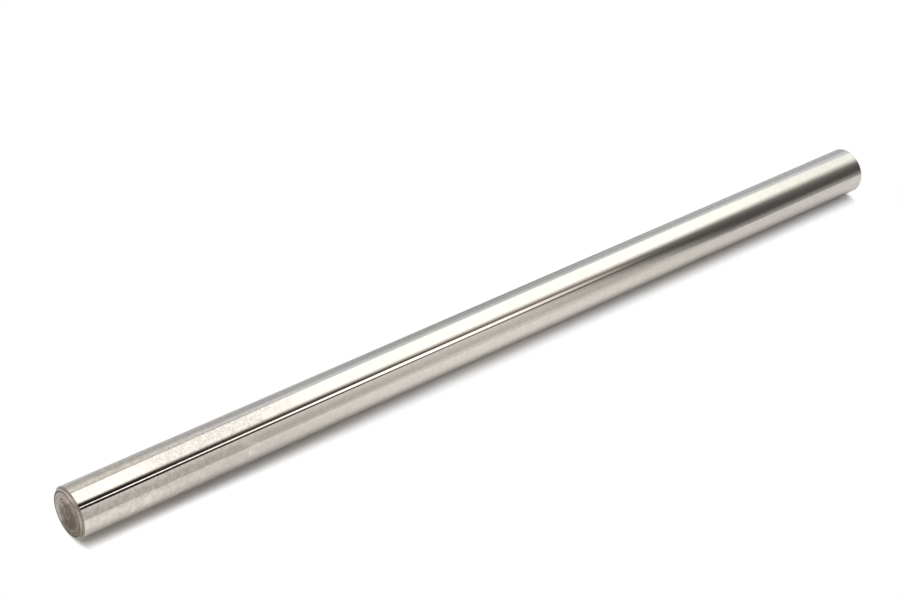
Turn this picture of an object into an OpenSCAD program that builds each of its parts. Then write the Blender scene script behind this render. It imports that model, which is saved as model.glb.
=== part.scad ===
// Shifter shaft: a plain round rail of ground and polished steel, on which the
// shift forks of a gearbox slide. Both ends are faced flat and chamfered, and a
// small radius breaks each edge of the chamfer.
// The bar lies along X with its middle over the origin, and z = 0 is the surface
// that it rests on.

/* [Bar] */
// Ground diameter of the bar
shaft_d = 15; // [8:0.5:30]
// Length of the bar, end face to end face
shaft_l = 304; // [100:1:600]

/* [Ends] */
// Length of the chamfer, along the bar
chamfer_l = 0.9; // [0.4:0.05:2]
// Angle between the chamfer and the axis of the bar, in degrees
chamfer_angle = 45; // [30:1:60]
// Radius between the ground surface and the chamfer
rim_r = 0.2; // [0.05:0.05:0.4]
// Radius between the chamfer and the end face
face_edge_r = 0.15; // [0.05:0.05:0.4]

/* [Hidden] */
$fn = 180;

shaft_r = shaft_d / 2;

// How far the chamfer cuts in from the ground surface, measured on the radius
chamfer_depth = chamfer_l * tan(chamfer_angle);
// Distance from each corner of the chamfer to where its edge radius begins and ends
rim_setback = rim_r * tan(chamfer_angle / 2);
face_setback = face_edge_r * tan((90 - chamfer_angle) / 2);

// Section of one end, from the axis out, with the axis upright. It is drawn from
// the corner where the chamfer meets the ground surface: x runs outwards from that
// surface and y runs towards the end face. Each corner is cut straight across
// between the ends of its radius, and a circle then fills the radius out.
module end_section() {
    up_chamfer = [-sin(chamfer_angle), cos(chamfer_angle)];
    face_corner = [-chamfer_depth, chamfer_l];
    polygon([
        [-shaft_r, -rim_r],
        [0, -rim_r],
        [0, -rim_setback],
        rim_setback * up_chamfer,
        face_corner - face_setback * up_chamfer,
        face_corner - [face_setback, 0],
        [-shaft_r, chamfer_l],
    ]);
    translate([-rim_r, -rim_setback])
        circle(rim_r);
    translate(face_corner - [face_setback, face_edge_r])
        circle(face_edge_r);
}

// Half of the bar's lengthwise section: the ground surface, and the same end
// section at the top and, mirrored, at the bottom
module half_section() {
    rim_height = shaft_l / 2 - chamfer_l;
    ground_l = 2 * (rim_height - rim_r);
    translate([0, -ground_l / 2])
        square([shaft_r, ground_l]);
    for (flip = [0, 1])
        mirror([0, flip])
            translate([shaft_r, rim_height])
                end_section();
}

// The bar itself, turned from its section and laid down along X
module shaft() {
    color([0.80, 0.79, 0.77])
        translate([0, 0, shaft_r])
            rotate([0, 90, 0])
                rotate_extrude()
                    half_section();
}

shaft();
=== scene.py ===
import math

import bpy
from bpy.props import FloatProperty, FloatVectorProperty, IntProperty, PointerProperty
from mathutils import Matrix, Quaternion, Vector


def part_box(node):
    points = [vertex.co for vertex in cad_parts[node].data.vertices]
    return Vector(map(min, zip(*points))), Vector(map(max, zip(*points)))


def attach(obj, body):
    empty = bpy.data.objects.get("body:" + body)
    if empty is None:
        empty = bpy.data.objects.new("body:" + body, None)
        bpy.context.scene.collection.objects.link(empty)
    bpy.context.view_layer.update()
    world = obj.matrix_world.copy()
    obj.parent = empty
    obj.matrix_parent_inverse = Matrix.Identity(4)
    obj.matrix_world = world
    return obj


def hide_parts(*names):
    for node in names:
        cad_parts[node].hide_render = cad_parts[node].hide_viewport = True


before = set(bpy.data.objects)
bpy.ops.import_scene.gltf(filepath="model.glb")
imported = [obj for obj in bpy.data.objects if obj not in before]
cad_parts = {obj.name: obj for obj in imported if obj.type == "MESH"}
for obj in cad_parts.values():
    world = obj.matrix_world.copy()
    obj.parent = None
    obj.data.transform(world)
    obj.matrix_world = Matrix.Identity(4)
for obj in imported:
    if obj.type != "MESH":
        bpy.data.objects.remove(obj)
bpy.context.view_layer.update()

bl_info = {
    "name": "Shifter Shaft",
    "version": (1, 0, 0),
    "blender": (4, 5, 0),
    "location": "View3D > Sidebar > Shaft",
    "description": "Builds a polished shifter shaft with faced ends, and a studio round it",
    "category": "Add Mesh",
}

SHAFT_LOW, SHAFT_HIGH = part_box("shaft")
MM = 0.001
MICRON = 0.000001
TURN = 2 * math.pi
WHITE = (1.0, 1.0, 1.0, 1.0)
BLACK = (0.0, 0.0, 0.0, 1.0)


# Node maths

class Socket:
    """One output socket. Arithmetic on it adds Math nodes to its tree."""

    def __init__(self, graph, socket):
        self.graph = graph
        self.socket = socket

    def __add__(self, other):
        return self.graph.math("ADD", self, other)

    def __radd__(self, other):
        return self.graph.math("ADD", other, self)

    def __sub__(self, other):
        return self.graph.math("SUBTRACT", self, other)

    def __rsub__(self, other):
        return self.graph.math("SUBTRACT", other, self)

    def __mul__(self, other):
        return self.graph.math("MULTIPLY", self, other)

    def __rmul__(self, other):
        return self.graph.math("MULTIPLY", other, self)

    def __truediv__(self, other):
        return self.graph.math("DIVIDE", self, other)

    def __rtruediv__(self, other):
        return self.graph.math("DIVIDE", other, self)

    def __pow__(self, other):
        return self.graph.math("POWER", self, other)

    def __neg__(self):
        return self.graph.math("MULTIPLY", self, -1.0)


class Graph:
    """Adds nodes to a shader tree or a geometry tree."""

    def __init__(self, tree):
        self.tree = tree

    def node(self, kind, settings=None, sockets=None, output=0):
        """Adds a node, sets its settings, then feeds its sockets. Returns one output, if there is any."""
        made = self.tree.nodes.new(kind)
        for name, value in (settings or {}).items():
            setattr(made, name, value)
        for key, value in (sockets or {}).items():
            self.feed(made.inputs[key], value)
        return Socket(self, made.outputs[output]) if len(made.outputs) else None

    def outputs(self, kind, sockets=None):
        """Adds a node and returns all of its outputs by name."""
        made = self.node(kind, None, sockets).socket.node
        return {output.name: Socket(self, output) for output in made.outputs}

    def feed(self, target, value):
        """Links a socket, or several sockets, to an input, or sets the input's own value."""
        if isinstance(value, Socket):
            self.tree.links.new(value.socket, target)
        elif isinstance(value, list):
            # An input that takes several links puts the newest one first
            for one in reversed(value):
                self.tree.links.new(one.socket, target)
        else:
            target.default_value = value

    def math(self, operation, *values):
        return self.node("ShaderNodeMath", {"operation": operation}, dict(enumerate(values)))

    def sin(self, value):
        return self.math("SINE", value)

    def cos(self, value):
        return self.math("COSINE", value)

    def tan(self, value):
        return self.math("TANGENT", value)

    def fraction(self, value):
        return self.math("FRACT", value)

    def absolute(self, value):
        return self.math("ABSOLUTE", value)

    def low(self, one, other):
        return self.math("MINIMUM", one, other)

    def high(self, one, other):
        return self.math("MAXIMUM", one, other)

    def length(self, one, other):
        return self.math("SQRT", one * one + other * other)

    def turn_angle(self, up, across):
        """Angle round an axis, in radians, from minus half a turn to half a turn."""
        return self.math("ARCTAN2", up, across)

    def smooth(self, value, start, end):
        """0 at start and 1 at end, with a soft rise between them. The start may be the higher one."""
        sockets = {"Value": value, "From Min": start, "From Max": end}
        return self.node("ShaderNodeMapRange", {"interpolation_type": "SMOOTHSTEP"}, sockets)

    def ramp(self, value, start, end):
        """0 at start and 1 at end, with a straight rise between them."""
        sockets = {"Value": value, "From Min": start, "From Max": end}
        return self.node("ShaderNodeMapRange", None, sockets)

    def hill(self, value, foot, top, far_top, far_foot):
        """0 up to foot, 1 from top to far_top, and 0 again from far_foot on, with soft slopes."""
        return self.smooth(value, foot, top) * self.smooth(value, far_foot, far_top)

    def band(self, value, middle, outer, inner):
        """1 within inner of the middle and 0 beyond outer of it, with soft sides."""
        return self.smooth(self.absolute(value - middle), outer, inner)

    def blend(self, factor, low, high):
        """From one number to another as the factor goes from 0 to 1."""
        return low + factor * (high - low)

    def mix_colour(self, factor, one, other):
        """From one colour to another as the factor goes from 0 to 1."""
        # The Mix node keeps its colour sockets at these places, after those for numbers and vectors
        return self.node("ShaderNodeMix", {"data_type": "RGBA"}, {0: factor, 6: one, 7: other}, output=2)

    def scaled(self, colour, factor):
        """The colour with every channel times the factor."""
        return self.node("ShaderNodeVectorMath", {"operation": "SCALE"}, {0: colour, "Scale": factor})

    def join_xyz(self, x, y, z):
        return self.node("ShaderNodeCombineXYZ", None, {"X": x, "Y": y, "Z": z})

    def split_xyz(self, vector):
        return list(self.outputs("ShaderNodeSeparateXYZ", {"Vector": vector}).values())

    def object_place(self):
        """The shaded point's x, y and z in its object's own coordinates."""
        return self.split_xyz(self.outputs("ShaderNodeTexCoord")["Object"])

    def noise(self, vector, scale, detail=2.0, roughness=0.5):
        """Noise through space, from about 0.2 to 0.8. The scale is in patches per metre."""
        sockets = {"Vector": vector, "Scale": scale, "Detail": detail, "Roughness": roughness}
        return self.node("ShaderNodeTexNoise", None, sockets)

    def noise_line(self, place, detail=2.0):
        """Noise along one line, from about 0.2 to 0.8."""
        sockets = {"W": place, "Scale": 1.0, "Detail": detail}
        return self.node("ShaderNodeTexNoise", {"noise_dimensions": "1D"}, sockets)


# Settings a user can change

class ShaftSizes(bpy.types.PropertyGroup):
    """Sizes of the bar and of the marks that its turning left."""

    diameter: FloatProperty(
        name="Diameter", description="Ground diameter of the bar",
        default=SHAFT_HIGH.z - SHAFT_LOW.z, unit="LENGTH", precision=5)
    length: FloatProperty(
        name="Length", description="Length from end face to end face",
        default=SHAFT_HIGH.x - SHAFT_LOW.x, unit="LENGTH", precision=5)
    chamfer_length: FloatProperty(
        name="Chamfer length", description="Length of each chamfer, along the bar",
        default=0.9 * MM, unit="LENGTH", precision=5)
    chamfer_angle: FloatProperty(
        name="Chamfer angle", description="Angle between the chamfer and the bar's axis",
        default=math.radians(45), subtype="ANGLE")
    rim_radius: FloatProperty(
        name="Rim radius", description="Radius between the ground surface and the chamfer",
        default=0.2 * MM, unit="LENGTH", precision=5)
    face_edge_radius: FloatProperty(
        name="Face edge radius", description="Radius between the chamfer and the end face",
        default=0.15 * MM, unit="LENGTH", precision=5)
    feed: FloatProperty(
        name="Facing feed", description="Pitch of the spiral that the facing tool left",
        default=0.3 * MM, unit="LENGTH", precision=5)
    mark_depth: FloatProperty(
        name="Mark depth", description="Depth of that spiral",
        default=0.010 * MM, unit="LENGTH", precision=6)
    wave_depth: FloatProperty(
        name="Wave depth", description="Depth of the broader rings that chatter left",
        default=0.060 * MM, unit="LENGTH", precision=6)
    pip_radius: FloatProperty(
        name="Centre pip radius", description="Radius of the small pit where the facing cut ended",
        default=0.35 * MM, unit="LENGTH", precision=5)
    pip_depth: FloatProperty(
        name="Centre pip depth", description="Depth of that pit",
        default=0.10 * MM, unit="LENGTH", precision=5)
    sides: IntProperty(
        name="Sides", description="Faces round the bar", default=240, min=24, max=360)
    seed: FloatProperty(
        name="Seed", description="Picks which uneven rings the chatter left", default=7.3)


class ShaftFinish(bpy.types.PropertyGroup):
    """Colours and roughness of the two steel finishes."""

    ground_colour: FloatVectorProperty(
        name="Ground steel", description="Colour of the ground and polished surface",
        default=(0.70, 0.655, 0.615), subtype="COLOR", size=3, min=0, max=1)
    ground_roughness: FloatProperty(
        name="Ground roughness", description="Roughness of the clean polished surface",
        default=0.045, min=0, max=1)
    handled_roughness: FloatProperty(
        name="Handled roughness", description="Roughness where fingers and oil have dulled the polish",
        default=0.095, min=0, max=1)
    turned_colour: FloatVectorProperty(
        name="Turned steel", description="Colour of the end faces and chamfers",
        default=(0.595, 0.478, 0.412), subtype="COLOR", size=3, min=0, max=1)
    turned_roughness: FloatProperty(
        name="Turned roughness", description="Roughness of the end faces and chamfers",
        default=0.30, min=0, max=1)


class StageSettings(bpy.types.PropertyGroup):
    """The studio: a floor, a tunnel of light and dark cards round the bar, and the camera."""

    lamp: FloatProperty(
        name="Softbox", description="Brightness of the softbox overhead, where 1 is white",
        default=1.65, min=0)
    wall: FloatProperty(
        name="Walls", description="Brightness of the grey walls", default=0.62, min=0)
    tunnel_radius: FloatProperty(
        name="Tunnel radius", description="Distance from the bar to the softbox and the cards",
        default=0.6, unit="LENGTH")
    tunnel_reach: FloatProperty(
        name="Tunnel reach", description="How far the tunnel runs past the middle of the bar, each way",
        default=1.3, unit="LENGTH")
    floor_size: FloatProperty(
        name="Floor size", description="Width of the floor", default=12.0, unit="LENGTH")
    floor_colour: FloatVectorProperty(
        name="Floor", description="Colour of the floor",
        default=(0.95, 0.95, 0.95), subtype="COLOR", size=3, min=0, max=1)
    back_floor_colour: FloatVectorProperty(
        name="Floor behind", description="Colour of the floor behind the bar, which only reflections see",
        default=(0.575, 0.594, 0.606), subtype="COLOR", size=3, min=0, max=1)
    lens: FloatProperty(
        name="Lens", description="Focal length of the camera, in millimetres", default=82.6, min=10)
    aim: FloatVectorProperty(
        name="Aim", description="Point that the camera looks at",
        default=(-0.00995, 0.0158, 0.0075), subtype="TRANSLATION", size=3, precision=5)
    distance: FloatProperty(
        name="Distance", description="Distance from the camera to that point",
        default=0.6246, unit="LENGTH", precision=5)
    azimuth: FloatProperty(
        name="Azimuth", description="Turn of the camera round the upright, from the -Y side",
        default=math.radians(-45.21), subtype="ANGLE")
    elevation: FloatProperty(
        name="Elevation", description="Height of the camera above the horizon",
        default=math.radians(40.29), subtype="ANGLE")
    roll: FloatProperty(
        name="Roll", description="Turn of the camera about its own line of sight",
        default=math.radians(9.95), subtype="ANGLE")


# The bar's shape

# Inputs of the tree that turns the bar, each with the setting that it takes its size from
SIZE_INPUTS = {
    "Diameter": "diameter",
    "Length": "length",
    "Chamfer Length": "chamfer_length",
    "Chamfer Angle": "chamfer_angle",
    "Rim Radius": "rim_radius",
    "Face Edge Radius": "face_edge_radius",
    "Feed": "feed",
    "Mark Depth": "mark_depth",
    "Wave Depth": "wave_depth",
    "Pip Radius": "pip_radius",
    "Pip Depth": "pip_depth",
}
# Steps across each strip of the bar's profile
GROUND_RINGS = 80
CHAMFER_RINGS = 8
ARC_RINGS = 6
FACE_RINGS = 120
# Points closer than this, where two strips meet, become one
WELD = 2e-7
# Pitch of the chatter rings, and the width over which all marks fade out at the face's edge
CHATTER_PITCH = 1.6 * MM
FADE_WIDTH = 0.25 * MM
# Share of the centre pit's radius at which it reaches its full depth
PIT_FLOOR = 0.4


def turned_strip(graph, rings, sides, profile):
    """A strip of surface turned round X. The profile takes u, from 0 to 1, and the angle round X, and gives
    the place along X and the radius there."""
    sheet = graph.node("GeometryNodeMeshGrid", None, {
        "Size X": 1.0, "Size Y": 1.0, "Vertices X": rings + 1, "Vertices Y": sides + 1})
    across, around = graph.split_xyz(graph.node("GeometryNodeInputPosition"))[:2]
    angle = (around + 0.5) * TURN
    along, radius = profile(across + 0.5, angle)
    place = graph.join_xyz(along, radius * graph.cos(angle), radius * graph.sin(angle))
    return graph.node("GeometryNodeSetPosition", None, {"Geometry": sheet, "Position": place})


def crowded_ends(graph, u):
    """The same run from 0 to 1, with its steps crowded towards both ends."""
    return 0.5 - 0.5 * graph.cos(u * math.pi)


def shaft_tree():
    """Geometry Nodes tree that turns the bar from its sizes and cuts the facing marks into its ends."""
    tree = bpy.data.node_groups.new("turned_shaft", "GeometryNodeTree")
    tree.interface.new_socket("Geometry", in_out="OUTPUT", socket_type="NodeSocketGeometry")
    for name in SIZE_INPUTS:
        tree.interface.new_socket(name, in_out="INPUT", socket_type="NodeSocketFloat")
    tree.interface.new_socket("Sides", in_out="INPUT", socket_type="NodeSocketInt")
    tree.interface.new_socket("Seed", in_out="INPUT", socket_type="NodeSocketFloat")
    tree.interface.new_socket("Ground Steel", in_out="INPUT", socket_type="NodeSocketMaterial")
    tree.interface.new_socket("Turned Steel", in_out="INPUT", socket_type="NodeSocketMaterial")

    graph = Graph(tree)
    size = graph.outputs("NodeGroupInput")
    sides = size["Sides"]
    radius = size["Diameter"] * 0.5
    half_length = size["Length"] * 0.5
    slope = size["Chamfer Angle"]
    rim_r = size["Rim Radius"]
    edge_r = size["Face Edge Radius"]
    run = size["Chamfer Length"]
    depth = run * graph.tan(slope)
    rim_setback = rim_r * graph.tan(slope * 0.5)
    edge_setback = edge_r * graph.tan((math.pi / 2 - slope) * 0.5)
    rim_x = half_length - run - rim_setback
    face_r = radius - depth - edge_setback

    def ground(u, angle):
        return (crowded_ends(graph, u) * 2.0 - 1.0) * rim_x, radius

    def rim(u, angle):
        bend = u * slope
        return rim_x + rim_r * graph.sin(bend), radius - rim_r + rim_r * graph.cos(bend)

    def chamfer(u, angle):
        step = crowded_ends(graph, u)
        first_x = half_length - run + rim_setback * graph.cos(slope)
        first_r = radius - rim_setback * graph.sin(slope)
        last_x = half_length - edge_setback * graph.cos(slope)
        last_r = radius - depth + edge_setback * graph.sin(slope)
        return graph.blend(step, first_x, last_x), graph.blend(step, first_r, last_r)

    def face_edge(u, angle):
        bend = graph.blend(u, slope, math.pi / 2)
        return half_length - edge_r + edge_r * graph.sin(bend), face_r + edge_r * graph.cos(bend)

    def face(u, angle):
        r = face_r * (1.0 - u)
        track = graph.fraction(r / size["Feed"] + angle / TURN)
        scallop = (track * 2.0 - 1.0) ** 2.0
        wave = graph.noise_line(r / CHATTER_PITCH + size["Seed"], 3.0)
        pit = graph.smooth(r, size["Pip Radius"], size["Pip Radius"] * PIT_FLOOR)
        fade = graph.smooth(r, face_r, face_r - FADE_WIDTH)
        cut = scallop * size["Mark Depth"] + wave * size["Wave Depth"]
        return half_length - cut * fade - pit * size["Pip Depth"], r

    end = graph.node("GeometryNodeJoinGeometry", None, {"Geometry": [
        turned_strip(graph, ARC_RINGS, sides, rim),
        turned_strip(graph, CHAMFER_RINGS, sides, chamfer),
        turned_strip(graph, ARC_RINGS, sides, face_edge),
        turned_strip(graph, FACE_RINGS, sides, face),
    ]})
    other_end = graph.node("GeometryNodeTransform", None, {
        "Geometry": end, "Rotation": (0.0, 0.0, math.pi)})
    bar = graph.node("GeometryNodeJoinGeometry", None, {"Geometry": [
        turned_strip(graph, GROUND_RINGS, sides, ground), end, other_end]})
    bar = graph.node("GeometryNodeMergeByDistance", None, {"Geometry": bar, "Distance": WELD})
    bar = graph.node("GeometryNodeFlipFaces", None, {"Mesh": bar})
    bar = graph.node("GeometryNodeTransform", None, {
        "Geometry": bar, "Translation": graph.join_xyz(0.0, 0.0, radius)})
    bar = graph.node("GeometryNodeSetShadeSmooth", None, {"Geometry": bar})
    bar = graph.node("GeometryNodeRealizeInstances", None, {"Geometry": bar})
    bar = graph.node("GeometryNodeSetMaterial", None, {"Geometry": bar, "Material": size["Ground Steel"]})
    along = graph.split_xyz(graph.node("GeometryNodeInputPosition"))[0]
    at_an_end = graph.math("GREATER_THAN", graph.absolute(along), half_length - run)
    bar = graph.node("GeometryNodeSetMaterial", None, {
        "Geometry": bar, "Selection": at_an_end, "Material": size["Turned Steel"]})
    graph.node("NodeGroupOutput", None, {"Geometry": bar})
    return tree


def grown_mesh(name, tree, values):
    """The mesh that a Geometry Nodes tree makes from these inputs, as a plain object."""
    carrier = bpy.data.objects.new(name + "_carrier", bpy.data.meshes.new(name + "_carrier"))
    bpy.context.scene.collection.objects.link(carrier)
    modifier = carrier.modifiers.new("turn", "NODES")
    modifier.node_group = tree
    for item in tree.interface.items_tree:
        if item.in_out == "INPUT":
            modifier[item.identifier] = values[item.name]
    bpy.context.view_layer.update()
    evaluated = carrier.evaluated_get(bpy.context.evaluated_depsgraph_get())
    mesh = bpy.data.meshes.new_from_object(evaluated)
    bpy.data.objects.remove(carrier)
    mesh.name = name
    made = bpy.data.objects.new(name, mesh)
    bpy.context.scene.collection.objects.link(made)
    return made


# Materials

# Distance of each finger mark from the near end and half its width, in metres
FINGER_MARKS = ((0.0155, 0.0016), (0.0215, 0.0022), (0.0530, 0.0026))
# Stretches along X, in metres: where each begins, is full, is still full and ends. The first is where the
# bar has its film, and in the others shade is painted on the floor that reflections see.
FILMED_STRETCH = (-0.146, -0.118, -0.094, -0.062)
NEAR_FLOOR = (-0.130, -0.105, -0.090, -0.010)
MIDDLE_FLOOR = (-0.100, -0.045, 0.075, 0.120)
BACK_FLOOR = (-0.080, 0.020, 0.040, 0.130)
# Colour that the floor turns towards at the bar's far end, as painted shade
FAR_FLOOR_SHADE = (0.0, 0.01, 0.04, 1.0)
# Grain of the ground surface, in marks per metre along the bar and across it
GRINDING_GRAIN = (9000.0, 70.0)
RUB_GRAIN = (25.0, 2600.0)
# The y and z of the direction that faces the softbox, where the film is painted thickest, and of the side
# of the end faces that is painted lighter, away from their painted shade
SOFTBOX_SIDE = (-0.191, 0.982)
LIT_FACE_SIDE = (0.93, 0.37)
# Pitch of the marks painted on the end faces, from the finest to the broadest
TOOL_LINE_PITCH = 0.09 * MM
CLOSE_RING_PITCH = 0.28 * MM
BROAD_RING_PITCH = 0.70 * MM
RIPPLE_PITCH = 0.95 * MM
# Where along its line of noise each set of rings starts, which picks its pattern
CLOSE_RING_START = 11.0
BROAD_RING_START = 2.4


def tinted(colour, red=1.0, green=1.0, blue=1.0):
    """The colour with full alpha, and each channel times its own factor."""
    return (colour[0] * red, colour[1] * green, colour[2] * blue, 1.0)


def new_material(name):
    material = bpy.data.materials.new(name)
    material.use_nodes = True
    material.node_tree.nodes.clear()
    return material, Graph(material.node_tree)


def set_surface(graph, shader):
    graph.node("ShaderNodeOutputMaterial", None, {"Surface": shader})


def set_metal(graph, colour, metallic, roughness, relief):
    """Ends a material in a metal surface. The relief is a height in metres."""
    bump = graph.node("ShaderNodeBump", None, {"Strength": 1.0, "Distance": 1.0, "Height": relief})
    set_surface(graph, graph.node("ShaderNodeBsdfPrincipled", None, {
        "Base Color": colour, "Metallic": metallic, "Roughness": roughness, "Normal": bump}))


def bar_coordinates(graph, sizes):
    """Place on the bar: along it, across it, its height above the axis, and all three as a vector."""
    x, y, z = graph.object_place()
    height = z - sizes.diameter / 2
    return x, y, height, graph.join_xyz(x, y, height)


def film_strongest_where_lit(graph, sizes, x, y, height, place):
    """How thick a dulling film lies: patches full of specks on one stretch, and little elsewhere. It is
    partly real film and partly painted to follow the light: it is thickest on the strip of the surface that
    faces the softbox, and much thinner elsewhere round the bar."""
    handled = graph.hill(x, *FILMED_STRETCH)
    cloud = graph.noise(place, 60.0, 4.0, 0.6)
    patches = graph.smooth(cloud + handled * 0.20, 0.50, 0.70)
    specks = graph.smooth(graph.noise(place, 1200.0, 3.0, 0.6), 0.40, 0.64)
    film = patches * (0.34 + specks * 0.60) * graph.blend(handled, 0.12, 1.0)
    # The film is painted thickest where the surface faces the softbox, to follow the light
    facing = (y * SOFTBOX_SIDE[0] + height * SOFTBOX_SIDE[1]) / (sizes.diameter / 2)
    return film * graph.blend(graph.smooth(facing, 0.90, 0.955), 0.15, 1.0)


def finger_smear(graph, sizes, x, height, place):
    """Broken marks that fingers left round the bar, which fade out at its top."""
    wander = (graph.noise(place, 180.0, 3.0, 0.6) - 0.5) * (12 * MM)
    finger = 0.0
    for distance, half_width in FINGER_MARKS:
        mark = graph.band(x + wander, distance - sizes.length / 2, half_width, half_width * 0.2)
        finger = graph.high(finger, mark)
    finger = finger * graph.smooth(height, 5.8 * MM, 4.4 * MM)
    return finger * graph.smooth(graph.noise(place, 420.0, 3.0, 0.6), 0.42, 0.60)


def drawn_out_noise(graph, x, y, height, grain, detail, roughness):
    """Noise with its own fineness along the bar and across it, so that it makes lines."""
    along, across = grain
    place = graph.join_xyz(x * along, y * across, height * across)
    return graph.noise(place, 1.0, detail, roughness)


def ground_steel(finish, sizes):
    """Ground and polished steel: bright, with fine grinding lines round the bar and rubs along it. One end
    has been handled: a thin film in patches and specks, and finger marks that run round the bar. The film
    is painted thickest on the strip that faces the softbox."""
    material, graph = new_material("ground_steel")
    x, y, height, place = bar_coordinates(graph, sizes)
    film = film_strongest_where_lit(graph, sizes, x, y, height, place)
    smear = finger_smear(graph, sizes, x, height, place)

    grinding = drawn_out_noise(graph, x, y, height, GRINDING_GRAIN, 3.0, 0.6)
    rubs = drawn_out_noise(graph, x, y, height, RUB_GRAIN, 2.0, 0.5)
    rub_lines = graph.smooth(rubs, 0.64, 0.74)
    near_end = graph.smooth(x, -0.085, -0.125)
    ripple = graph.noise(place, 750.0, 3.0, 0.6)
    mottle = 0.5 + (graph.smooth(ripple, 0.38, 0.62) - 0.5) * graph.blend(near_end, 0.35, 1.0)

    clean = finish.ground_colour
    colour = graph.mix_colour(mottle, tinted(clean, 1.07, 1.07, 1.07), tinted(clean, 0.91, 0.90, 0.885))
    colour = graph.mix_colour(film, colour, tinted(clean, 0.685, 0.69, 0.70))
    colour = graph.mix_colour(smear, colour, tinted(clean, 1.17, 1.17, 1.17))
    roughness = (
        finish.ground_roughness
        + film * (finish.handled_roughness - finish.ground_roughness)
        + smear * 0.10
        + (grinding - 0.5) * 0.04
        + rub_lines * 0.03
    )
    relief = (
        grinding * (0.5 * MICRON)
        + rub_lines * (-0.5 * MICRON)
        + film * (0.8 * MICRON)
        + ripple * near_end * (3.2 * MICRON)
    )
    set_metal(graph, colour, 1.0 - film * 0.06, roughness, relief)
    return material


def chamfer_painted_light(graph, radius, face_r, r, y, height):
    """How light the chamfer is painted, where 1 is full. Its light and shade are painted: lighter on its
    upper side, painted shade on its right side and on its shoulder in front of the top, and a darker
    painted groove line along it that is deepest at the top."""
    run = graph.ramp(r, face_r, radius)
    right_side = graph.smooth(y, 2.0 * MM, -5.0 * MM) * graph.smooth(height, -5.5 * MM, -2.0 * MM)
    upper_side = graph.smooth(height, -1.0 * MM, 3.0 * MM)
    from_groove = graph.absolute(run - graph.blend(upper_side, 0.46, 0.66))
    groove = graph.smooth(from_groove, graph.blend(upper_side, 0.26, 0.34), 0.12)
    front = graph.smooth(y, -1.0 * MM, -3.4 * MM)
    groove = groove * graph.blend(front, 0.67, 0.30) * graph.blend(upper_side, 0.6, 1.0)
    shoulder = graph.smooth(y, -0.8 * MM, -2.2 * MM) * graph.smooth(height, 4.9 * MM, 6.0 * MM)
    return 0.95 + upper_side * 0.25 - right_side * 0.50 - shoulder * (0.45 - groove) - groove


def turned_steel(finish, sizes):
    """Faced steel: dull and brown, with uneven rings left by the facing cut, darkest in a ring round the
    middle. Shade is painted on the faces, darker towards -Y and the bottom, and light and shade are painted
    on the chamfer. The chamfer lies between two dark edges."""
    material, graph = new_material("turned_steel")
    x, y, height, place = bar_coordinates(graph, sizes)
    radius = sizes.diameter / 2
    face_r = radius - sizes.chamfer_length * math.tan(sizes.chamfer_angle)
    r = graph.length(y, height)
    ring_r = r + (graph.noise(place, 350.0, 2.0, 0.5) - 0.5) * (0.4 * MM)
    turn = graph.turn_angle(height, y) / TURN

    tool_track = graph.fraction(ring_r / TOOL_LINE_PITCH + turn)
    tool_lines = graph.absolute(tool_track * 2.0 - 1.0)
    broad_rings = graph.noise_line(ring_r / BROAD_RING_PITCH + BROAD_RING_START, 1.0)
    close_rings = graph.noise_line(ring_r / CLOSE_RING_PITCH + CLOSE_RING_START, 2.0)
    rings = graph.smooth(broad_rings * 0.5 + close_rings * 0.5, 0.42, 0.58)
    ripples = graph.sin(ring_r * (TURN / RIPPLE_PITCH))
    stain = graph.smooth(graph.noise(place, 520.0, 4.0, 0.6), 0.36, 0.62)
    # Painted shade: each face is painted darker towards -Y and the bottom, and lighter on the opposite side
    painted_shade_side = graph.smooth(y * LIT_FACE_SIDE[0] + height * LIT_FACE_SIDE[1], 5.5 * MM, -3.0 * MM)
    dark_middle = graph.smooth(r, 5.0 * MM, 3.3 * MM)
    dark_ring = graph.band(r, 2.9 * MM, 1.5 * MM, 0.5 * MM)
    outer = graph.smooth(r, 4.6 * MM, 5.4 * MM)
    shade = 0.86 - painted_shade_side * 0.62 - dark_middle * 0.32
    shade = shade + (rings - 0.5) * (0.62 - painted_shade_side * 0.34)
    shade = shade + (stain - 0.5) * (0.52 - painted_shade_side * 0.26)
    shade = shade + outer * (ripples * 0.20 + 0.06 - painted_shade_side * 0.08) - dark_ring * 0.12

    on_chamfer = graph.smooth(r, face_r - 0.10 * MM, face_r)
    # On the chamfer, its painted light and shade take over
    shade = graph.blend(on_chamfer, shade, chamfer_painted_light(graph, radius, face_r, r, y, height))
    face_edge = graph.band(r, face_r - 0.22 * MM, 0.40 * MM, 0.10 * MM)
    rim_edge = graph.smooth(r, radius - 0.18 * MM, radius - 0.05 * MM)
    shade = graph.high(graph.low(shade, 1.0), 0.0) * (1.0 - graph.high(face_edge * 0.92, rim_edge * 0.55))

    turned = finish.turned_colour
    # Random olive tone, stronger on the side where shade is painted
    olive_tone_and_shade = graph.smooth(graph.noise(place, 400.0, 3.0, 0.5), 0.40, 0.60) * 0.5
    olive_tone_and_shade = graph.low(olive_tone_and_shade + painted_shade_side * 0.7, 1.0)
    metal = graph.mix_colour(olive_tone_and_shade, tinted(turned, 0.965, 0.99, 1.10), tinted(turned, 0.96, 0.99, 0.83))
    metal = graph.mix_colour(on_chamfer, metal, tinted(finish.ground_colour, 0.90, 0.86, 0.81))
    colour = graph.mix_colour(shade, tinted(turned, 0.145, 0.128, 0.098), metal)
    roughness = finish.turned_roughness + (close_rings - 0.5) * 0.2
    relief = tool_lines * (2 * MICRON) + close_rings * (10 * MICRON)
    set_metal(graph, colour, 1.0, roughness, relief)
    return material


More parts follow.
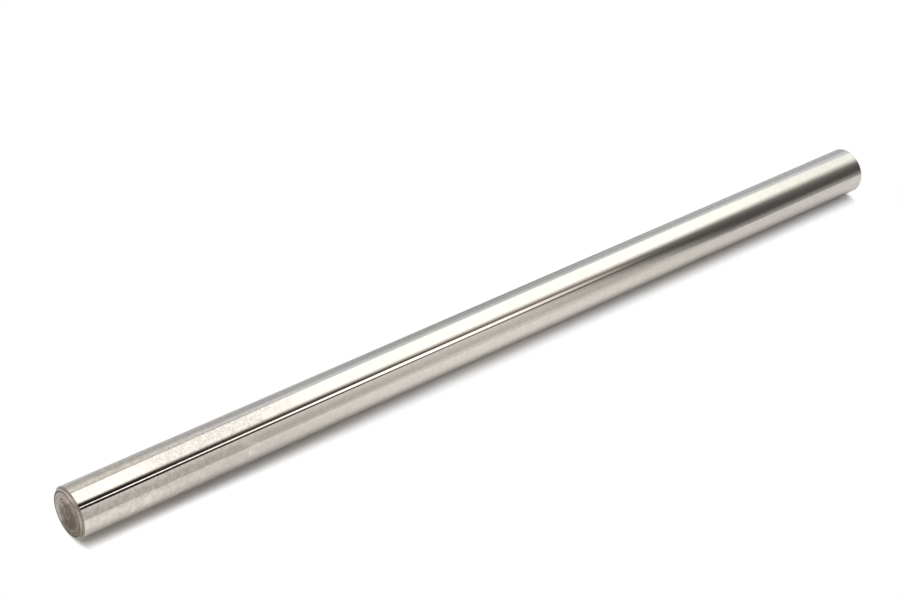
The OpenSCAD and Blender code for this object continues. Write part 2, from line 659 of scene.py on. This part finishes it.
def floor_paper(stage, sizes):
    """Matt pale floor, greyer behind the bar. It keeps the bar's shadow, and away from the bar the camera
    sees it plain white. Shade is also painted on it: darker towards the bar's far end, and, for reflections
    only, a shadow beside the bar and dimmer stretches along it."""
    material, graph = new_material("floor_paper")
    x, y = graph.object_place()[:2]
    is_camera = graph.outputs("ShaderNodeLightPath")["Is Camera Ray"]
    not_camera = 1.0 - is_camera
    behind = graph.smooth(y, 0.0, 0.02)
    paper_colour = graph.mix_colour(
        behind * not_camera, tinted(stage.floor_colour), tinted(stage.back_floor_colour))
    # Painted shade, darker towards the bar's far end
    painted_far_shade = graph.smooth(x, 0.0, 0.12)
    paper_colour = graph.mix_colour(painted_far_shade * 0.16, paper_colour, FAR_FLOOR_SHADE)
    # Painted shadow and shade that only reflections see: beside the bar, and on stretches along it
    painted_shadow_beside = graph.smooth(graph.absolute(y), sizes.diameter * 0.95, sizes.diameter * 0.50)
    painted_floor_shade = not_camera * (
        graph.hill(x, *NEAR_FLOOR) * 0.11
        + graph.hill(x, *MIDDLE_FLOOR) * painted_shadow_beside * 0.12
        + graph.hill(x, *BACK_FLOOR) * behind * 0.36
    )
    paper_colour = graph.mix_colour(painted_floor_shade, paper_colour, BLACK)

    # Distance along the bar counts 3.5 times from 2.5 mm inside its end on, so the shadow stops soon there
    past_end = graph.high(graph.absolute(x) - (sizes.length / 2 - 2.5 * MM), 0.0) * 3.5
    away = graph.length(past_end, y)
    along = graph.smooth(x, -0.125, -0.03)
    shadow_core = sizes.diameter * 0.242
    shadow_edge = sizes.diameter * graph.blend(along, 0.552, 0.62)
    open_floor = graph.ramp(away, shadow_core, shadow_edge) ** graph.blend(along, 2.8, 1.62)
    open_floor = graph.blend(along * 0.04, open_floor, 1.0)
    paper = graph.node("ShaderNodeBsdfDiffuse", None, {"Color": paper_colour})
    white = graph.node("ShaderNodeEmission", None, {"Color": WHITE, "Strength": 1.0})
    set_surface(graph, graph.node("ShaderNodeMixShader", None, {
        0: open_floor * is_camera, 1: paper, 2: white}))
    return material


# Where along X the tunnel's stations start, and the distance from station 0 to station 1
STATION_START = 0.076
STATION_LENGTH = 0.6575
# Rise of the cards' edges at the near end, from the front up and over to the back
WALL_TOP = 43.7
STRIP_FOOT = 53.3
STRIP_TOP = 55.5
SOFTBOX_FRONT = 72.3
SOFTBOX_BACK = 142.6
# Colours of the light: what reflections see, what lights the floor from overhead and from lower in front,
# and what reflections see in the cards, at the far stations and behind the softbox
REFLECTED_TINT = (1.0, 0.994, 0.958, 1.0)
OVERHEAD_TINT = (1.0, 0.998, 0.99, 1.0)
FRONT_TINT = (1.0, 0.94, 0.89, 1.0)
CARD_TINT = (1.03, 0.995, 0.955, 1.0)
FAR_TINT = (0.965, 1.0, 0.965, 1.0)
BACK_TINT = (0.93, 0.995, 1.05, 1.0)


class TunnelPlace:
    """Place of a point on the tunnel. Its rise is its height angle seen from the bar, in degrees. Its
    station is 0 where the bar's near end reflects it to the camera, and 1 where the far end does."""

    def __init__(self, graph, sizes):
        x, y, z = graph.object_place()
        self.graph = graph
        self.rise = graph.turn_angle(z - sizes.diameter / 2, -y) * (180 / math.pi)
        self.station = (x - STATION_START) / STATION_LENGTH
        self.run = graph.high(graph.low(self.station, 1.0), 0.0)
        # Width of the cards' edges in degrees, which grows towards the far end
        self.blur = 0.6 + 13.0 * self.run * self.run

    def along(self, start, end):
        """From 0 at one station to 1 at another."""
        return self.graph.smooth(self.station, start, end)

    def stretch(self, foot, top, far_top, far_foot):
        """1 on a stretch of stations and 0 outside it."""
        return self.graph.hill(self.station, foot, top, far_top, far_foot)

    def up(self, start, end):
        """From 0 at one rise to 1 at another."""
        return self.graph.smooth(self.rise, start, end)

    def above(self, edge, width=None):
        """1 above an edge at this rise and 0 below it. The edge is as soft as the cards' own, unless its
        width is given."""
        width = self.blur if width is None else width
        return self.graph.smooth(self.rise, edge - width * 0.5, edge + width * 0.5)


def softbox_front(place):
    """1 from the softbox's soft front edge up, and 0 below it."""
    from_end = place.along(0.02, 0.10)
    edge = SOFTBOX_FRONT + 2.7 * from_end + 3.0 * place.along(0.12, 0.30) + 1.0 * place.along(0.35, 0.50)
    width = 12.8 + 3.2 * from_end + 3.0 * place.along(0.14, 0.28) + 20.0 * place.run * place.run
    return place.above(edge, width)


def dark_flag(place, level):
    """The level with a dark flag in front of it, which covers the far stations up to the softbox."""
    graph = place.graph
    below = 38.0 - place.rise
    edge = 0.582 + below * 0.0027 + graph.high(below, 0.0) * 0.0023
    edge = edge + 0.02 * graph.hill(place.rise, 12.0, 20.0, 28.0, 36.0)
    width = graph.blend(place.up(10.0, 30.0), 0.04, 0.118)
    flag = graph.smooth(place.station - edge, width * -1.0, width * 1.5)
    flag_level = 0.107 + 0.35 * place.up(28.0, -4.0) + 0.15 * place.up(43.0, 75.0)
    flag_level = flag_level + 0.022 * place.along(0.78, 0.92) * place.up(36.0, 50.0)
    return graph.blend(flag, level, flag_level)


def front_cards(place, over_wall, wall_level, lamp_level):
    """Brightness below the softbox: a grey wall, a black gap over it with a thin strip light in it, and the
    dark flag."""
    graph = place.graph
    lifted = place.stretch(0.20, 0.45, 0.50, 0.62)
    wall = graph.blend(place.up(18.0, 47.0), (0.97 + 0.10 * lifted) * wall_level, wall_level * 1.34)
    wall = wall * (1.0 + 0.42 * place.up(9.0, 0.0) * place.along(0.10, 0.35))
    level = graph.blend(over_wall, wall, 0.025 + 0.65 * place.run * place.run)
    strip_foot = STRIP_FOOT + 1.0 * place.along(0.03, 0.15) - 1.9 * place.along(0.16, 0.40)
    strip_top = STRIP_TOP + 22.5 * graph.low(place.run, 0.35)
    strip = place.above(strip_foot) * (1.0 - place.above(strip_top)) * place.along(0.76, 0.62)
    strip_light = lamp_level * graph.blend(place.along(0.03, 0.10), 1.28, 1.10)
    return dark_flag(place, graph.blend(strip, level, strip_light))


def back_wall(place, softbox_back):
    """Brightness behind the softbox: a wall that is lighter higher up. A dark rim edges the softbox there,
    at the near stations."""
    wall = place.graph.blend(place.up(168.0, 140.0), 0.565, 0.90)
    lifted = place.stretch(0.05, 0.10, 0.20, 0.27) * place.up(164.0, 150.0)
    dark_foot = place.stretch(0.22, 0.38, 0.52, 0.66) * place.up(164.0, 178.0)
    wall = wall * (1.0 + 0.14 * lifted - 0.18 * dark_foot)
    rim = place.above(softbox_back) * (1.0 - place.above(softbox_back + 6.0)) * place.along(0.32, 0.16)
    return wall * (1.0 - 0.27 * rim)


def tunnel_light(stage, sizes):
    """Light and dark cards round the bar, as brightness by rise and station. Reflections see the cards as
    they are. The light that falls on the floor comes more from overhead, so the bar's shadow is as deep as
    a real softbox makes it."""
    material, graph = new_material("tunnel_light")
    place = TunnelPlace(graph, sizes)
    wall_top = WALL_TOP + 2.8 * place.along(0.03, 0.16) + 0.6 * place.along(0.18, 0.28)
    over_wall = place.above(wall_top - 2.6 * place.along(0.40, 0.60))
    lamp = stage.lamp * graph.blend(place.along(0.72, 0.95), 1.0, 0.82)
    over_front = softbox_front(place)
    bulge = graph.low((place.station - 0.55) * (place.station - 0.55), 0.35)
    softbox_back = SOFTBOX_BACK - 60.0 * bulge - 1.5 * place.along(0.18, 0.36)
    past_back = place.above(softbox_back, place.blur + 4.5 * place.along(0.20, 0.40))
    level = graph.blend(over_front, front_cards(place, over_wall, stage.wall, lamp), lamp)
    level = graph.blend(past_back, level, back_wall(place, softbox_back))

    is_glossy = graph.outputs("ShaderNodeLightPath")["Is Glossy Ray"]
    overhead = place.up(50.0, 75.0)
    lit_level = level * graph.blend(overhead, 0.55, 1.20)
    from_front = (1.0 - overhead) * (1.0 - is_glossy)
    at_cards = (1.0 - over_front) * over_wall * place.along(0.75, 0.60)
    at_back = place.above(softbox_back) * place.along(0.02, 0.30)
    tint = graph.mix_colour(is_glossy, OVERHEAD_TINT, REFLECTED_TINT)
    tint = graph.mix_colour(from_front, tint, FRONT_TINT)
    tint = graph.mix_colour(at_cards, tint, CARD_TINT)
    tint = graph.mix_colour(place.along(0.62, 0.85), tint, FAR_TINT)
    tint = graph.mix_colour(at_back, tint, BACK_TINT)
    glow = graph.scaled(tint, graph.blend(is_glossy, lit_level, level))
    set_surface(graph, graph.node("ShaderNodeEmission", None, {"Color": glow, "Strength": 1.0}))
    return material


# Stage pieces

# Flat strips that make up the tunnel. It starts and ends a degree below the height of the bar's axis.
TUNNEL_STRIPS = 60
TUNNEL_OVERLAP = 1


def sheet_object(name, corners, faces, material):
    mesh = bpy.data.meshes.new(name)
    mesh.from_pydata(corners, [], faces)
    mesh.materials.append(material)
    made = bpy.data.objects.new(name, mesh)
    bpy.context.scene.collection.objects.link(made)
    return made


def make_floor(stage, sizes):
    half = stage.floor_size / 2
    corners = [(-half, -half, 0), (half, -half, 0), (half, half, 0), (-half, half, 0)]
    sheet_object("floor", corners, [(0, 1, 2, 3)], floor_paper(stage, sizes))


def make_tunnel(stage, sizes):
    """A half pipe over the bar that only its reflections and the floor's light see."""
    reach = stage.tunnel_reach
    axis_height = sizes.diameter / 2
    sweep = 180 + 2 * TUNNEL_OVERLAP
    corners = []
    for step in range(TUNNEL_STRIPS + 1):
        angle = math.radians(sweep * step / TUNNEL_STRIPS - TUNNEL_OVERLAP)
        y = -stage.tunnel_radius * math.cos(angle)
        z = axis_height + stage.tunnel_radius * math.sin(angle)
        corners += [(-reach, y, z), (reach, y, z)]
    faces = [(2 * i, 2 * i + 1, 2 * i + 3, 2 * i + 2) for i in range(TUNNEL_STRIPS)]
    tunnel = sheet_object("light_tunnel", corners, faces, tunnel_light(stage, sizes))
    tunnel.visible_camera = False


def make_world():
    """White to the camera and to reflections, and dim as a light."""
    world = bpy.data.worlds.new("studio_world")
    world.use_nodes = True
    world.node_tree.nodes.clear()
    graph = Graph(world.node_tree)
    rays = graph.outputs("ShaderNodeLightPath")
    seen = graph.high(rays["Is Camera Ray"], rays["Is Glossy Ray"])
    seen = graph.high(seen, rays["Is Transmission Ray"])
    light = graph.node("ShaderNodeBackground", None, {
        "Color": WHITE, "Strength": graph.blend(seen, 0.5, 1.0)})
    graph.node("ShaderNodeOutputWorld", None, {"Surface": light})
    bpy.context.scene.world = world


def make_camera(stage):
    data = bpy.data.cameras.new("camera")
    data.lens = stage.lens
    data.clip_start = 0.01
    camera = bpy.data.objects.new("camera", data)
    bpy.context.scene.collection.objects.link(camera)
    back = Vector((
        math.sin(stage.azimuth) * math.cos(stage.elevation),
        -math.cos(stage.azimuth) * math.cos(stage.elevation),
        math.sin(stage.elevation),
    ))
    camera.location = Vector(stage.aim) + back * stage.distance
    camera.rotation_mode = "QUATERNION"
    level_view = (-back).to_track_quat("-Z", "Y")
    camera.rotation_quaternion = level_view @ Quaternion((0, 0, 1), stage.roll)
    bpy.context.scene.camera = camera


# Operators and panel

class SHAFT_OT_make_bar(bpy.types.Operator):
    """Turn the bar, with its chamfers and facing marks, and give it its steel"""

    bl_idname = "shaft.make_bar"
    bl_label = "Make the bar"

    def execute(self, context):
        sizes = context.scene.shaft_sizes
        finish = context.scene.shaft_finish
        values = {name: getattr(sizes, setting) for name, setting in SIZE_INPUTS.items()}
        values["Sides"] = sizes.sides
        values["Seed"] = sizes.seed
        values["Ground Steel"] = ground_steel(finish, sizes)
        values["Turned Steel"] = turned_steel(finish, sizes)
        bar = grown_mesh("polished_shaft", shaft_tree(), values)
        if not bar.data.polygons:
            raise RuntimeError("the bar came out with no faces")
        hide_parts("shaft")
        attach(bar, "root")
        return {"FINISHED"}


class SHAFT_OT_make_stage(bpy.types.Operator):
    """Set up the floor, the tunnel of light, the world and the camera"""

    bl_idname = "shaft.make_stage"
    bl_label = "Make the studio"

    def execute(self, context):
        stage = context.scene.shaft_stage
        sizes = context.scene.shaft_sizes
        make_floor(stage, sizes)
        make_tunnel(stage, sizes)
        make_world()
        make_camera(stage)
        context.scene.view_settings.view_transform = "Standard"
        return {"FINISHED"}


class SHAFT_PT_panel(bpy.types.Panel):
    """Lists the settings, and the steps that build the shaft and its studio"""

    bl_idname = "SHAFT_PT_panel"
    bl_label = "Shifter shaft"
    bl_space_type = "VIEW_3D"
    bl_region_type = "UI"
    bl_category = "Shaft"

    def draw(self, context):
        layout = self.layout
        for group in (context.scene.shaft_sizes, context.scene.shaft_finish, context.scene.shaft_stage):
            box = layout.box()
            for name in group.bl_rna.properties.keys():
                if name not in ("rna_type", "name"):
                    box.prop(group, name)
        layout.operator(SHAFT_OT_make_bar.bl_idname)
        layout.operator(SHAFT_OT_make_stage.bl_idname)


CLASSES = (
    ShaftSizes, ShaftFinish, StageSettings,
    SHAFT_OT_make_bar, SHAFT_OT_make_stage, SHAFT_PT_panel,
)


def register():
    for one in CLASSES:
        bpy.utils.register_class(one)
    bpy.types.Scene.shaft_sizes = PointerProperty(type=ShaftSizes)
    bpy.types.Scene.shaft_finish = PointerProperty(type=ShaftFinish)
    bpy.types.Scene.shaft_stage = PointerProperty(type=StageSettings)


def unregister():
    del bpy.types.Scene.shaft_stage
    del bpy.types.Scene.shaft_finish
    del bpy.types.Scene.shaft_sizes
    for one in reversed(CLASSES):
        bpy.utils.unregister_class(one)


def main():
    register()
    bpy.ops.shaft.make_bar()
    bpy.ops.shaft.make_stage()


if __name__ == "__main__":
    main()
